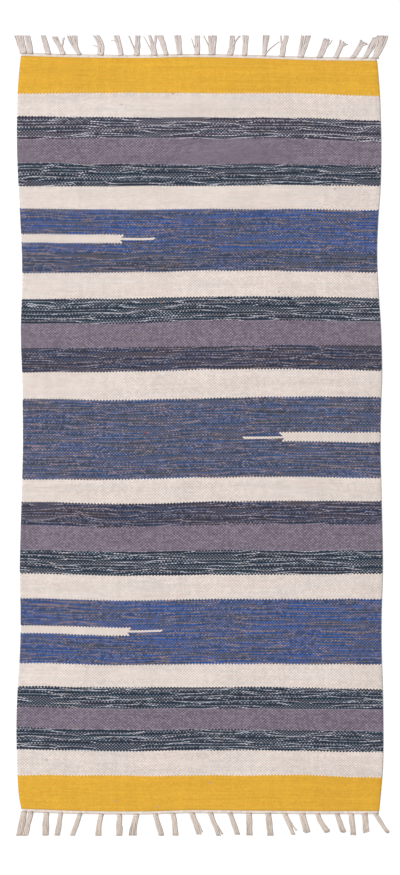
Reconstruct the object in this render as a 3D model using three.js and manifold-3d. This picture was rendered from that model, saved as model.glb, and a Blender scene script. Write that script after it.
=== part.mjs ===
// A kilim rug of thick cotton that lies flat on a floor. It is one woven sheet. Past each of its ends runs a
// narrow plain heading, and the warp ends leave the heading in knotted bundles, the tassels of the fringe.
// Millimetres, +Z up. The floor is z = 0, X runs across the rug and Y along it.

import * as THREE from "three";
import { mergeVertices } from "three/addons/utils/BufferGeometryUtils.js";
import Module from "manifold-3d";

// The woven sheet
const CLOTH_THICKNESS = 3.6;
const SHOULDER_HEIGHT = 2.2; // the woven edge stands upright to here and rounds over above it
const SHOULDER_INSET = 1.6; // how far the round edge draws in
const SWELL = 0.35; // how far the top rises and falls over the sheet
const SWELL_LENGTH = 520;
const SWELL_WIDTH = 310;
const COLUMNS = 12; // facets across
const ROWS = 32; // facets along
const LEVELS = 2; // facets up its edge

// The headings
const PARTING = 0.3; // clear space between the sheet and a heading
const HEADING_WIDTH = 5.2;
const HEADING_THICKNESS = 2.6;
const HEADING_SHARE = 0.996; // a heading is this much narrower than the sheet's end

// The tassels
const KNOT_RADIUS = 4;
const KNOT_HEIGHT = 5;
const KNOT_FOOT = 0.8; // a knot's radius on the floor, as a share
const KNOT_SHOULDER = 0.75; // and at its shoulder
const BELLY_RISE = 0.35; // where it is widest, as a share of its height
const SHOULDER_RISE = 0.8;
const KNOT_OUT = 1.5; // from the heading's outer edge to a knot's middle
const KNOT_SIDES = 6;
const STRANDS = 5; // in each tassel
const STRAND_STEPS = 2;
const STRAND_WIDTH = 1.8;
const STRAND_TIP_WIDTH = 1.5;
const STRAND_HEIGHT = 2.8;
const STRAND_TIP_HEIGHT = 2;
const STRAND_CROWN = 0.6; // a strand's top is this share of its foot's width
const STRAY_REACH = 0.8; // a stray strand ends at this share of its tassel's reach
const CORNER_CLEARANCE = 3; // the end knots stay this far inside the sheet's corners

// Where the woven edges run, seen from above
const EDGE = { along: 0, left: 1, right: 2 };
const EDGES = [
  [-729, -349, 347],
  [-700, -354, 350],
  [-640, -357, 354.5],
  [-560, -358, 355],
  [-480, -355, 353.5],
  [-420, -351, 351.5],
  [-350, -350, 351.5],
  [-260, -351.5, 354],
  [-140, -348.5, 352],
  [-30, -345.5, 349.5],
  [60, -346, 350.5],
  [115, -347, 352.5],
  [200, -349.5, 350.5],
  [290, -347, 345],
  [350, -347.5, 343],
  [415, -350.5, 345],
  [480, -354, 349.5],
  [560, -357, 351],
  [650, -356.5, 348.5],
  [700, -353.5, 345],
  [733, -350, 342],
];

// Where the sheet ends, as the ends bow and slant a little
const END = { across: 0, top: 1, bottom: 2 };
const ENDS = [
  [-350, 735.5, -729],
  [-240, 732.5, -732.8],
  [-110, 731.5, -733.9],
  [-20, 733, -731.6],
  [100, 731, -732.4],
  [230, 727, -733.4],
  [347, 726, -733.2],
];

// Tassels from left to right. root: where the knot sits. lean: how far right of it the tips end.
// reach: from the heading to the tips. girth: width at the knot. spread: width at the tips. bow: how far the
// middle bulges to the right. stray: how far right of the bundle's tip one strand ends, 0 for none.
const TOP_TASSELS = [
  { root: -345, lean: -8.5, reach: 35, girth: 12.5, spread: 18, bow: 0, stray: 0 },
  { root: -331, lean: -6, reach: 35, girth: 10, spread: 11, bow: 0, stray: 0 },
  { root: -297, lean: -9.5, reach: 36.5, girth: 11, spread: 10, bow: 0, stray: 0 },
  { root: -268, lean: -15, reach: 35, girth: 9.5, spread: 14, bow: 0, stray: 16 },
  { root: -236, lean: -14, reach: 37.5, girth: 7, spread: 20, bow: -3, stray: 0 },
  { root: -195, lean: -10, reach: 38.5, girth: 12, spread: 16, bow: 4, stray: -7 },
  { root: -155, lean: -10, reach: 38.5, girth: 9, spread: 14, bow: 1, stray: -11 },
  { root: -125, lean: 1.5, reach: 38.5, girth: 10.5, spread: 11, bow: 0, stray: -16.5 },
  { root: -90.5, lean: -9, reach: 38.5, girth: 11.5, spread: 9, bow: 1, stray: -12 },
  { root: -67.5, lean: -12, reach: 38, girth: 8.5, spread: 12, bow: 0, stray: -6 },
  { root: -41, lean: -4.5, reach: 37.5, girth: 9, spread: 12, bow: 0.5, stray: 0 },
  { root: -7, lean: 0, reach: 37, girth: 10, spread: 12, bow: 0, stray: -11 },
  { root: 22, lean: -1, reach: 37.5, girth: 11.5, spread: 20, bow: 0, stray: -15 },
  { root: 57, lean: 6, reach: 38, girth: 11.5, spread: 11, bow: 1, stray: 13 },
  { root: 85, lean: 1.5, reach: 39, girth: 9, spread: 12, bow: 0, stray: 0 },
  { root: 123, lean: 5, reach: 40, girth: 7.5, spread: 15, bow: 0, stray: 25 },
  { root: 158, lean: 8, reach: 41, girth: 10, spread: 11, bow: 0, stray: -10 },
  { root: 194, lean: 11, reach: 42, girth: 12, spread: 20, bow: 0, stray: 0 },
  { root: 231, lean: 15, reach: 36.5, girth: 10.5, spread: 14, bow: 0, stray: 10 },
  { root: 263, lean: 13, reach: 34, girth: 9, spread: 9, bow: 0, stray: 9 },
  { root: 296, lean: 18, reach: 34.5, girth: 10, spread: 9, bow: 1.5, stray: 9 },
  { root: 320, lean: 22, reach: 41.5, girth: 9.5, spread: 15, bow: 0, stray: 0 },
  { root: 340, lean: 14.5, reach: 44, girth: 12, spread: 24, bow: 2, stray: 0 },
];
const BOTTOM_TASSELS = [
  { root: -344, lean: -9, reach: 47, girth: 10, spread: 12, bow: 0, stray: 0 },
  { root: -330.5, lean: -11, reach: 46.5, girth: 9, spread: 10, bow: 0, stray: 0 },
  { root: -300, lean: -2, reach: 45, girth: 9.5, spread: 11.5, bow: 0, stray: 0 },
  { root: -272.5, lean: -7, reach: 44, girth: 8, spread: 10.5, bow: 0, stray: 0 },
  { root: -235, lean: -14.5, reach: 43, girth: 8, spread: 9.5, bow: 0, stray: 0 },
  { root: -193.5, lean: -5.5, reach: 42.5, girth: 8.5, spread: 12, bow: -1.5, stray: 0 },
  { root: -158.5, lean: -0.5, reach: 42.5, girth: 8.5, spread: 11, bow: 0.5, stray: 0 },
  { root: -125, lean: -8, reach: 42, girth: 9.5, spread: 15, bow: -1.5, stray: 0 },
  { root: -88.5, lean: 12, reach: 42.5, girth: 9, spread: 9.5, bow: 0, stray: 0 },
  { root: -54, lean: 5, reach: 43.5, girth: 8.5, spread: 11, bow: 1, stray: 0 },
  { root: -17, lean: 14.5, reach: 42, girth: 9.5, spread: 10.5, bow: 0, stray: 6 },
  { root: 19, lean: 16, reach: 44.5, girth: 9, spread: 9, bow: 0, stray: 7.5 },
  { root: 57, lean: 14, reach: 42, girth: 8.5, spread: 10, bow: 0, stray: 0 },
  { root: 94, lean: 1, reach: 43, girth: 10, spread: 11.5, bow: 0, stray: 0 },
  { root: 131, lean: 4, reach: 43.5, girth: 10, spread: 12, bow: 0, stray: 0 },
  { root: 163.5, lean: 17, reach: 41, girth: 9, spread: 9, bow: 0, stray: 6 },
  { root: 197.5, lean: 9, reach: 37, girth: 11, spread: 12.5, bow: 0, stray: 0 },
  { root: 227.5, lean: 19, reach: 35.5, girth: 8.5, spread: 10.5, bow: -2.5, stray: 0 },
  { root: 265.5, lean: 11.5, reach: 36, girth: 8.5, spread: 12, bow: -1, stray: 0 },
  { root: 292.5, lean: 4, reach: 40.5, girth: 9.5, spread: 10.5, bow: 0, stray: 0 },
  { root: 318.5, lean: 3, reach: 36, girth: 11, spread: 13, bow: 0, stray: 0 },
  { root: 340.5, lean: 23, reach: 36.5, girth: 8, spread: 8, bow: -1, stray: 0 },
];

const cottonStriped = new THREE.MeshStandardMaterial({ color: 0x7d7a8c, roughness: 0.95, metalness: 0 });
const cottonUndyed = new THREE.MeshStandardMaterial({ color: 0xd8cdc4, roughness: 0.95, metalness: 0 });

const wasm = await Module();
wasm.setup();

// A smooth curve through one column of a table: cubic stretches, sloped by the rows on either side.
function curveThrough(rows, column) {
  const stations = rows.map((row) => row[0]);
  const values = rows.map((row) => row[column]);
  const last = rows.length - 1;
  const slopes = values.map((_, i) => {
    const before = Math.max(i - 1, 0);
    const after = Math.min(i + 1, last);
    return (values[after] - values[before]) / (stations[after] - stations[before]);
  });
  return (where) => {
    const next = stations.findIndex((station) => station > where);
    const i = next < 0 ? last - 1 : Math.max(next - 1, 0);
    const run = stations[i + 1] - stations[i];
    const t = THREE.MathUtils.clamp((where - stations[i]) / run, 0, 1);
    const ease = t * t * (3 - 2 * t);
    const leave = t * (1 - t) * (1 - t) * run * slopes[i];
    const arrive = t * t * (t - 1) * run * slopes[i + 1];
    return THREE.MathUtils.lerp(values[i], values[i + 1], ease) + leave + arrive;
  };
}

const leftEdge = curveThrough(EDGES, EDGE.left);
const rightEdge = curveThrough(EDGES, EDGE.right);
const topEnd = curveThrough(ENDS, END.top);
const bottomEnd = curveThrough(ENDS, END.bottom);
const SPAN_LEFT = ENDS[0][END.across];
const SPAN_RIGHT = ENDS[ENDS.length - 1][END.across];

// The place on the sheet's outline plan that lies at these shares of its width and length.
function clothPoint(across, along) {
  const straight = THREE.MathUtils.lerp(SPAN_LEFT, SPAN_RIGHT, across);
  const y = THREE.MathUtils.lerp(bottomEnd(straight), topEnd(straight), along);
  return { x: THREE.MathUtils.lerp(leftEdge(y), rightEdge(y), across), y };
}

function clothTop(x, y) {
  const slow = Math.sin((2 * Math.PI * y) / SWELL_LENGTH) * Math.cos((2 * Math.PI * x) / SWELL_WIDTH);
  return CLOTH_THICKNESS + SWELL * slow;
}

// Moves each corner of a unit box, divided into whole steps, to the place that shape gives for it.
function moulded(columns, rows, levels, shape) {
  const box = new THREE.BoxGeometry(1, 1, 1, columns, rows, levels);
  const corners = box.attributes.position;
  for (let i = 0; i < corners.count; i += 1) {
    const column = Math.round((corners.getX(i) + 0.5) * columns);
    const row = Math.round((corners.getY(i) + 0.5) * rows);
    const level = Math.round((corners.getZ(i) + 0.5) * levels);
    const place = shape(column, row, level);
    corners.setXYZ(i, place.x, place.y, place.z);
  }
  return box;
}

// How far a rim corner at the first or last step draws in towards the middle.
function drawnIn(step, steps) {
  if (step === 0) return SHOULDER_INSET;
  return step === steps ? -SHOULDER_INSET : 0;
}

function sheet() {
  return moulded(COLUMNS, ROWS, LEVELS, (column, row, level) => {
    const { x, y } = clothPoint(column / COLUMNS, row / ROWS);
    if (level < LEVELS) return { x, y, z: level * SHOULDER_HEIGHT };
    return { x: x + drawnIn(column, COLUMNS), y: y + drawnIn(row, ROWS), z: clothTop(x, y) };
  });
}

// The side parameter is 1 at the top end and -1 at the bottom end, which is the same half turned about Z.
function heading(side) {
  const end = side > 0 ? 1 : 0;
  return moulded(COLUMNS, 1, 1, (column, row, level) => {
    const share = side > 0 ? column / COLUMNS : 1 - column / COLUMNS;
    const edge = clothPoint(share, end);
    const outward = PARTING + row * HEADING_WIDTH;
    return { x: edge.x * HEADING_SHARE, y: edge.y + side * outward, z: level * HEADING_THICKNESS };
  });
}

function headingRim(side, x) {
  const edge = side > 0 ? topEnd(x) : -bottomEnd(x);
  return edge + PARTING + HEADING_WIDTH;
}

function knot(side, x, girth) {
  const profile = [
    new THREE.Vector2(0, 0),
    new THREE.Vector2(KNOT_FOOT * KNOT_RADIUS, 0),
    new THREE.Vector2(KNOT_RADIUS, BELLY_RISE * KNOT_HEIGHT),
    new THREE.Vector2(KNOT_SHOULDER * KNOT_RADIUS, SHOULDER_RISE * KNOT_HEIGHT),
    new THREE.Vector2(0, KNOT_HEIGHT),
  ];
  const lump = new THREE.LatheGeometry(profile, KNOT_SIDES);
  lump.rotateX(Math.PI / 2);
  lump.scale(girth / (2 * KNOT_RADIUS), 1, 1);
  lump.translate(x, side * (headingRim(side, x) + KNOT_OUT), 0);
  return lump;
}

// How far a bundle's middle bulges at a share of its way: nothing at its ends, all of its bow halfway.
function bowed(bow, share) {
  return bow * (1 - (2 * share - 1) ** 2);
}

// One strand of a tassel, four-sided, with its foot flat on the floor from knot to tip.
function strand(side, x, tassel, number) {
  const stray = tassel.stray !== 0 && number === (tassel.stray < 0 ? 0 : STRANDS - 1);
  const place = number / (STRANDS - 1) - 0.5;
  const reach = tassel.reach * (stray ? STRAY_REACH : 1) - KNOT_OUT;
  const root = place * (tassel.girth - STRAND_WIDTH);
  const tip = tassel.lean + (stray ? tassel.stray : place * (tassel.spread - STRAND_TIP_WIDTH));
  const start = headingRim(side, x) + KNOT_OUT;
  return moulded(1, STRAND_STEPS, 1, (column, row, level) => {
    const t = row / STRAND_STEPS;
    const middle = THREE.MathUtils.lerp(root, tip, t) + bowed(tassel.bow, t);
    const foot = THREE.MathUtils.lerp(STRAND_WIDTH, STRAND_TIP_WIDTH, t);
    const width = level === 0 ? foot : foot * STRAND_CROWN;
    const flank = (column - 0.5) * width;
    const height = THREE.MathUtils.lerp(STRAND_HEIGHT, STRAND_TIP_HEIGHT, t);
    return { x: x + middle + side * flank, y: side * (start + reach * t), z: level * height };
  });
}

function toSolid(geometry) {
  geometry.deleteAttribute("normal");
  geometry.deleteAttribute("uv");
  const merged = mergeVertices(geometry);
  const vertProperties = new Float32Array(merged.attributes.position.array);
  const triVerts = new Uint32Array(merged.index.array);
  return new wasm.Manifold(new wasm.Mesh({ numProp: 3, vertProperties, triVerts }));
}

function toGeometry(solid) {
  const { vertProperties, triVerts } = solid.getMesh();
  const geometry = new THREE.BufferGeometry();
  geometry.setAttribute("position", new THREE.BufferAttribute(vertProperties, 3));
  geometry.setIndex(new THREE.BufferAttribute(triVerts, 1));
  geometry.computeVertexNormals();
  return geometry;
}

function fringe(side, tassels) {
  const end = side > 0 ? 1 : 0;
  const leftmost = clothPoint(0, end).x + CORNER_CLEARANCE;
  const rightmost = clothPoint(1, end).x - CORNER_CLEARANCE;
  let backing = toSolid(heading(side));
  for (const tassel of tassels) {
    const x = THREE.MathUtils.clamp(tassel.root, leftmost, rightmost);
    backing = backing.add(toSolid(knot(side, x, tassel.girth)));
    for (let number = 0; number < STRANDS; number += 1) {
      backing = backing.add(toSolid(strand(side, x, tassel, number)));
    }
  }
  return toGeometry(backing);
}

function named(name, geometry, material) {
  const mesh = new THREE.Mesh(geometry, material);
  mesh.name = name;
  return mesh;
}

const rug = new THREE.Group();
rug.add(named("rug_body", sheet(), cottonStriped));
rug.add(named("fringe_top", fringe(1, TOP_TASSELS), cottonUndyed));
rug.add(named("fringe_bottom", fringe(-1, BOTTOM_TASSELS), cottonUndyed));

// The rug's own origin is the middle of its whole footprint, on the floor.
const middle = new THREE.Box3().setFromObject(rug).getCenter(new THREE.Vector3());
rug.position.set(-middle.x, -middle.y, 0);

export default rug;
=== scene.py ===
"""A thick cotton kilim rug, seen from straight above on a pale floor.

The rug is one weft-faced sheet. Cross stripes of ochre, cream, mauve and marled yarn run from edge to edge,
with three small cream bars laid into them. Its warp ends leave a narrow plain heading at each end in
knotted tassels. Sizes are in millimetres, with the middle of the woven sheet's plan as the origin, until a
mesh is made.
"""

import math

import bpy
import numpy as np
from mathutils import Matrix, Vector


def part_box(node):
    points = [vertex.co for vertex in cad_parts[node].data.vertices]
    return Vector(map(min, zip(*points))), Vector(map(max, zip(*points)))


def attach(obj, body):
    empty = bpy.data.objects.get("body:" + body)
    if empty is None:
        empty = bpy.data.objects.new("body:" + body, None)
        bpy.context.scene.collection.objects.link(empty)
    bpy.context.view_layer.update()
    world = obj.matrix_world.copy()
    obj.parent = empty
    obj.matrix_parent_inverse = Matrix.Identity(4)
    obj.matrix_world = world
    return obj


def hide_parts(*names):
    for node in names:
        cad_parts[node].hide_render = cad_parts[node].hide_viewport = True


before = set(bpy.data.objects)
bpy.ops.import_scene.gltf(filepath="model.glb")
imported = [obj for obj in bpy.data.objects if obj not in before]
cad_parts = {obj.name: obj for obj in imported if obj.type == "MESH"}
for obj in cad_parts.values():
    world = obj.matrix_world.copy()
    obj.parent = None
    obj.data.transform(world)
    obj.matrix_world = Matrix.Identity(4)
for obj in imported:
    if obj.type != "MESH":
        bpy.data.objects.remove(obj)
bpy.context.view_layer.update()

MM = 0.001
draw = np.random.default_rng(7)

# The photograph's view and its light
VIEW_MIDDLE = (-1, -6.8)
VIEW_LENGTH = 1701  # of the rug's plane, from the picture's top to its bottom
FILM_LENGTH = 36
LENS_LENGTH = 85
SKY_STRENGTH = 0.44
WINDOW_PLACE = (-5.0, 1.2, 8.8)  # in metres, as the next size
WINDOW_SIZE = 3.2
WINDOW_POWER = 930
FLOOR_HALF = 4000
FLOOR_COLOURS = ((0.93, 0.93, 0.935, 1), (0.95, 0.95, 0.955, 1))
FLOOR_GRAIN = 30  # patches a metre
FLOOR_ROUGHNESS = (0.8, 0.9)
FLOOR_GLOSS = 0.1

# The woven sheet
CLOTH_THICKNESS = 3.6
WARPS = 226
PICK_PITCH = 2.62
SWELL = 0.35
SWELL_LENGTH = 520
SWELL_WIDTH = 310
UNEVEN_DEPTH = 0.08
UNEVEN_LENGTHS = (23, 61, 17, 47)  # of four waves that don't repeat together, for each radian
COLUMNS = 64  # faces across
ROUND_WIDTH = 1.8  # how far the selvedge's round side draws in
ROUND_STEPS = 6
LOOP_DEPTH = 0.25  # how far the weft's turns stand out of the selvedge
END_THINNING = 0.7  # the sheet's thickness at its ends, as a share
OUTLINE_GRID = (13, 33)  # places across and along at which the sheet's low corner is sought
LOOKS_A_PICK = 4  # how finely a pick is sought

# Where the woven edges run, seen from above: along, left edge, right edge. These and the ends were
# measured on the photograph by a scratch program and rounded.
EDGES = (
    (-729, -349, 347),
    (-700, -354, 350),
    (-640, -357, 354.5),
    (-560, -358, 355),
    (-480, -355, 353.5),
    (-420, -351, 351.5),
    (-350, -350, 351.5),
    (-260, -351.5, 354),
    (-140, -348.5, 352),
    (-30, -345.5, 349.5),
    (60, -346, 350.5),
    (115, -347, 352.5),
    (200, -349.5, 350.5),
    (290, -347, 345),
    (350, -347.5, 343),
    (415, -350.5, 345),
    (480, -354, 349.5),
    (560, -357, 351),
    (650, -356.5, 348.5),
    (700, -353.5, 345),
    (733, -350, 342),
)

# Where the sheet ends: across, top end, bottom end
ENDS = (
    (-350, 735.5, -729),
    (-240, 732.5, -732.8),
    (-110, 731.5, -733.9),
    (-20, 733, -731.6),
    (100, 731, -732.4),
    (230, 727, -733.4),
    (347, 726, -733.2),
)

# The stripes from the top end down: the yarn, and where the stripe ends below at five stations across.
# The places are a scratch program's fit to the stripes' edges, measured on the photograph.
STATIONS = (-326, -158, 9, 176, 343)
STRIPES = (
    ("ochre", (662, 663, 662, 662, 657)),
    ("cream", (618, 616, 615, 615, 609)),
    ("plum", (573, 576, 573, 575, 567)),
    ("mauve", (527, 525, 524, 525, 521)),
    ("indigo", (482, 482, 483, 484, 482)),
    ("cream", (438, 436, 437, 437, 435)),
    ("blue", (353, 352, 355, 355, 352)),
    ("dusk", (313, 314, 317, 317, 313)),
    ("cream", (262, 263, 267, 267, 264)),
    ("indigo", (214, 215, 221, 221, 219)),
    ("mauve", (167, 168, 171, 173, 171)),
    ("slate", (120, 121, 125, 126, 123)),
    ("cream", (68, 66, 70, 72, 72)),
    ("smoke", (-88, -88, -84, -83, -85)),
    ("cream", (-132, -136, -132, -130, -131)),
    ("slate", (-177, -181, -177, -175, -176)),
    ("mauve", (-225, -229, -226, -227, -226)),
    ("indigo", (-271, -276, -274, -273, -272)),
    ("cream", (-319, -324, -321, -321, -321)),
    ("blue", (-445, -449, -447, -447, -448)),
    ("cream", (-490, -493, -492, -493, -496)),
    ("indigo", (-530, -534, -533, -534, -536)),
    ("mauve", (-571, -575, -574, -576, -578)),
    ("indigo", (-613, -617, -615, -616, -618)),
    ("cream", (-663, -664, -664, -663, -668)),
    ("ochre", None),
)

# Each yarn's colours: its ground, the third strand that takes the ground's place in stretches, and the second
# strand that shows in lines and dots. They were worked out from the stripes' mean colours and grain on the
# photograph, partly by scratch programs, and adjusted by eye.
COLOURS = {
    "ochre": ((0.69, 0.386, 0.036), (0.685, 0.376, 0.034), (0.645, 0.336, 0.027)),
    "cream": ((0.757, 0.668, 0.614), (0.747, 0.66, 0.609), (0.696, 0.613, 0.56)),
    "mauve": ((0.272, 0.221, 0.285), (0.266, 0.215, 0.275), (0.215, 0.17, 0.219)),
    "plum": ((0.035, 0.047, 0.071), (0.053, 0.041, 0.067), (0.602, 0.572, 0.625)),
    "indigo": ((0.015, 0.037, 0.061), (0.026, 0.031, 0.053), (0.525, 0.512, 0.56)),
    "slate": ((0.024, 0.041, 0.092), (0.053, 0.045, 0.063), (0.309, 0.263, 0.304)),
    "blue": ((0.032, 0.103, 0.355), (0.057, 0.092, 0.185), (0.275, 0.207, 0.21)),
    "dusk": ((0.039, 0.085, 0.212), (0.054, 0.07, 0.105), (0.275, 0.217, 0.245)),
    "smoke": ((0.045, 0.1, 0.248), (0.065, 0.083, 0.124), (0.29, 0.225, 0.262)),
}

# How each yarn runs: half of its second strand's width, how softly that blends in, how deep the painted shade
# in the dips between the beads is, and how unlike in brightness its beads are. Then how much the second
# strand is moved by a jump at each bead, by its thread's own waves and by the waves that it shares with
# others.
PLAIN = (0.4, 0.9, 0.66)
HABITS = {
    "ochre": ((0.5, 0.4, 0.13, 0.05), PLAIN),
    "cream": ((0.5, 0.4, 0.6, 0.07), PLAIN),
    "mauve": ((0.5, 0.4, 1.5, 0.23), PLAIN),
    "plum": ((0.27, 0.23, 0.8, 0.38), (0.28, 0.9, 0.66)),
    "indigo": ((0.27, 0.23, 0.8, 0.4), (0.28, 0.9, 0.66)),
    "slate": ((0.28, 0.26, 0.8, 0.38), (0.35, 0.85, 0.7)),
    "blue": ((0.44, 0.36, 1.4, 0.3), (0.35, 0.75, 0.7)),
    "dusk": ((0.44, 0.36, 1.4, 0.32), (0.35, 0.75, 0.7)),
    "smoke": ((0.44, 0.36, 1.4, 0.32), (0.35, 0.75, 0.7)),
}

# The bars laid in: the side they start from, where they start along the rug, how many picks high they are,
# how many of them lie above the thin line, how far across the notch is, and how far across the line ends
BARS = (
    ("left", 387, 6, 2, -158.5, -89),
    ("right", 3.5, 7, 3, 164.5, 85),
    ("left", -376, 6, 2, -143.5, -75),
)
LINE_HALF = 0.85  # picks
NOTCH_SLOPE = 0.85  # warps that the notch gives up with each pick

# How the weft lies and how its strands show
PICK_WAVE = 0.45  # picks that a pick's edge swings by, as its thread goes over a warp and under the next
ROUND_SHARE = 0.6  # how much of a bead's fall comes from its round, and the rest from its dive under the warp
WANDER = (0.65, 1.2, 0)  # how far warps and picks wander from their even places
WANDER_LENGTH = (30, 12)  # in warps and picks
STREAK_WARPS = 60  # the length of the slow waves of one thread's second strand
STREAK_GAIN = 10
OWN_SPREAD = 900.0  # over how much of that wave's length threads begin, so that no two are alike
SHARED_LENGTH = (47, 3.7)  # of the waves that threads nearby share, in warps and picks
SHARED_GAIN = 25
OTHER_PICKS_OFF = 400.0  # how many warps off every other pick reads the shared wave
STRAND_SHIFT = 0.8  # how far off its thread's middle the second strand goes, in picks
THIRD_TURN = 0.1  # how high its wave is where the third strand has taken over
TINT_TURN = 0.15
NOISE_SPAN = (0.22, 0.78)  # where nearly all of a noise's values lie
WARP_STREAK = (4.5, 250)  # the size of the soft streaks along the warps, in warps and picks
WARP_STREAK_DEPTH = 0.035
WEFT_STREAK = (90, 6)  # and of those along the weft
WEFT_STREAK_DEPTH = 0.05
CLOUD_DEPTH = 0.05
FLECKS = 0.0025  # beads flecked in a yarn as uneven as can be
FLECK_SHARE = 0.6
FLECK_COLOUR = (0.5, 0.34, 0.28, 1)
RED_FLECK = (-110, 5)  # where a little red fluff is caught
RED_SHARE = 0.75
RED = (0.36, 0.02, 0.04, 1)
STRAND_TINTS = ((0.94, 1.0, 1.05, 1), (1.06, 0.99, 0.965, 1))  # how the second strand's colour leans

# The finishes
COTTON_GLOSS = 0.15
CLOTH_SHEEN = 0.15
YARN_SHEEN = 0.1
SHEEN_SPREAD = 0.6
FIBRE_SCALE = 1400  # fibres a metre
CLOUD_SCALE = 14
CLOTH_ROUGHNESS = (0.98, 0.86)  # between the beads and on their tops
CLOTH_FUZZ = 0.25  # how high the fibres stand against a bead
BEAD_BUMP = 0.6
PLY_LIGHT = 0.6  # how high up a ply its light colour is full, over the painted shade between plies
CLOUD_SPAN = (0.25, 0.75)
CLOUD_LIGHT = (0.92, 1.06)
YARN_LIGHT = (0.9, 1.06)
PAINTED_FLANK_SHADE_SPAN = (-0.4, 0.8)  # painted shade down a yarn's sides: from where it is darkest up to where it ends
FIBRE_SPAN = (0.2, 0.8)
YARN_ROUGHNESS = (0.85, 1)
YARN_FUZZ = 0.3

# Each undyed yarn's light colour, its darker colour of painted shade between plies, how deep its twist is and
# how light the painted shade leaves its flanks
UNDYED = {
    "top warp ends": ((0.705, 0.625, 0.588), (0.585, 0.5, 0.462), 0.3, 0.82),
    "bottom warp ends": ((0.69, 0.594, 0.522), (0.57, 0.473, 0.408), 0.3, 0.82),
    "heading": ((0.77, 0.69, 0.63), (0.71, 0.63, 0.57), 0.2, 1),
    "edge cord": ((0.68, 0.58, 0.52), (0.58, 0.48, 0.43), 0.2, 0.9),
    # painted shade: the knot's turn of yarn is coloured brown for the shade at the knot's base
    "knot turn, painted shade": ((0.46, 0.34, 0.29), (0.36, 0.25, 0.21), 0.2, 0.7),
}

# The headings
HEADING_OVERLAP = 0.4
HEADING_WIDTH = 5.5
HEADING_THICKNESS = 2.6
HEADING_SHARE = 0.996
HEADING_PICKS = 3
HEADING_STEPS = 4  # to each pick
HEADING_ROUND = 0.18  # how much each pick stands up, as a share of the thickness
HEADING_RIMS = (0.75, 0.6)  # how thick its inner and outer rims are, as shares
HEADING_BELLY = (1.03, 0.3)  # where its outer side stands out most: shares out and up
WARP_STANDS = 0.06  # how far every second warp stands up, as a share
CORD_WIDTH = 1.3  # of each of the edge cord's two plies
CORD_PITCH = 6
CORD_STEPS = 6  # in each turn
CORD_SIDES = 4
CORD_LIFT = 1.1  # how high its middle lies, in its plies' widths

# The tassels
KNOT_HEIGHT = 4.4
KNOT_LENGTH = 6
KNOT_OUT = 1.5
KNOT_SPARE = 0.6  # a knot is this much wider than the tassel that leaves it
KNOT_STEPS = 6
KNOT_SIDES = 8
KNOT_BULGE = 1.5
WRAP_WIDTH = 1.5  # of the turn of yarn that draws a knot tight
WRAP_STEPS = 14
WRAP_SIDES = 5
WRAP_WAY = (1.15, 1.3)  # where the turn starts and how far it goes, in half circles
WRAP_PLACE = 0.28  # how far towards the heading it lies, as a share of the knot's length
WRAP_LEAN = (-0.8, 1.4)
WRAP_RISE = (0.45, 0.5)  # its middle's height and how far it rises, as shares of the knot's height
STRANDS = 14
STRAND_STEPS = 9
STRAND_SIDES = 5
STRAND_WIDTH = 2
STRAND_TIP_WIDTH = 1.8  # at least, and more in a tassel that opens wide
STRAND_OVERLAP = 1.45  # how wide a tip is against its share of the tassel's width
STRAND_OFF = 0.07  # how far a strand is off its even place, as a share of the tassel's width
STRAND_WAVES = (0.6, 1.6)  # in a strand's length
STRAND_SWAY = (0.2, 1.0)
TIPS_OFF = (-1, 0.6)  # how far tips end short or past, in the tassel's raggedness
STRAND_NESTING = 0.4  # how much higher every second strand lies, in strands
STRAY_GAP = 1.4  # between the tips of strands that stray together
STRAY_BEND = 1.2
LEAST_SHARE = 0.001
CORNER_CLEARANCE = 3
PLY_PITCH = 5
WARP_ENDS, HEADING, EDGE_CORD, KNOT_TURN = range(4)  # a fringe's looks, in their order

# Tassels from left to right: where the knot sits, how far right of it the tips end, the reach from the
# heading to the tips, the width at the knot and at the tips, how far the middle bulges to the right, and
# how ragged the tips are
TOP_TASSELS = (
    (-345, -8.5, 35, 12.5, 18, 0, 0.6),
    (-331, -6, 35, 10, 11, 0, 0.6),
    (-297, -9.5, 36.5, 11, 10, 0, 0.6),
    (-268, -15, 35, 9.5, 14, 0, 0.6),
    (-236, -14, 37.5, 7, 20, -3, 0.6),
    (-195, -10, 38.5, 12, 16, 4, 0.6),
    (-155, -10, 38.5, 9, 14, 1, 0.6),
    (-125, 1.5, 38.5, 10.5, 11, 0, 0.6),
    (-90.5, -9, 38.5, 11.5, 9, 1, 0.6),
    (-67.5, -12, 38, 8.5, 12, 0, 0.6),
    (-41, -4.5, 37.5, 9, 12, 0.5, 0.6),
    (-7, 0, 37, 10, 12, 0, 0.6),
    (22, -1, 37.5, 11.5, 20, 0, 0.6),
    (57, 6, 38, 11.5, 11, 1, 0.6),
    (85, 1.5, 39, 9, 12, 0, 0.6),
    (123, 5, 40, 7.5, 15, 0, 0.6),
    (158, 8, 41, 10, 11, 0, 0.6),
    (194, 11, 42, 12, 20, 0, 0.6),
    (231, 15, 36.5, 10.5, 14, 0, 3),
    (263, 13, 34, 9, 9, 0, 3),
    (296, 18, 34.5, 10, 9, 1.5, 3),
    (320, 22, 41.5, 9.5, 15, 0, 3),
    (340, 14.5, 44, 12, 24, 2, 0.6),
)
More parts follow.
